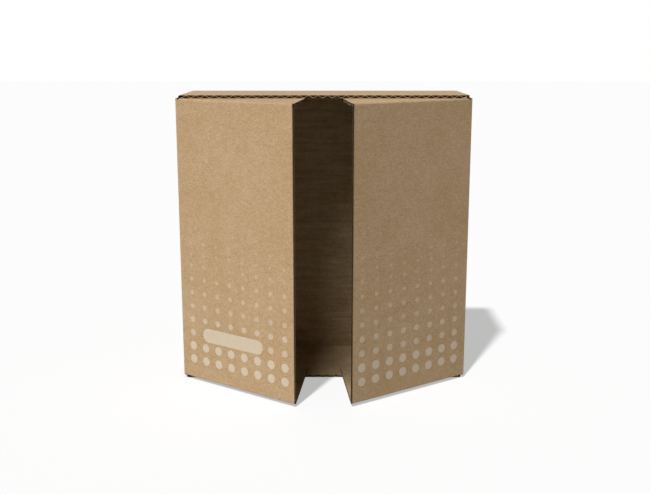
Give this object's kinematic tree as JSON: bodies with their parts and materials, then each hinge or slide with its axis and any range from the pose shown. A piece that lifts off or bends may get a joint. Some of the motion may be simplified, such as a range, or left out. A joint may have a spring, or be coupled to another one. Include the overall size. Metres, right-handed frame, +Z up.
{
  "type": "mailer box",
  "caption": "Corrugated mailer box standing upright, its front two side-hung doors with tuck flaps above and below, dotted print.",
  "frame": {"origin": "on the floor, at the middle of the bottom panel's outer face", "axes": "+Z up, -Y towards the doors, +X to the right seen from the front"},
  "size_m": [0.21, 0.1308, 0.21],
  "materials": {
    "board": "matte brown kraft board",
    "ink": "thin matte pale ink"
  },
  "bodies": {
    "box": {"box_body": "board"},
    "door_left": {"left_door": "board", "left_door_print": "ink"},
    "door_right": {"right_door": "board", "right_door_print": "ink"}
  },
  "joints": [
    {"name": "left_door_crease", "type": "hinge", "parent": "box", "child": "door_left", "pos_m": [-0.105, -0.035, 0.105], "axis": [0, 0, -1], "range_deg": [-35.7, 144.3]},
    {"name": "right_door_crease", "type": "hinge", "parent": "box", "child": "door_right", "pos_m": [0.105, -0.035, 0.105], "axis": [0, 0, 1], "range_deg": [-35.2, 144.8]}
  ]
}
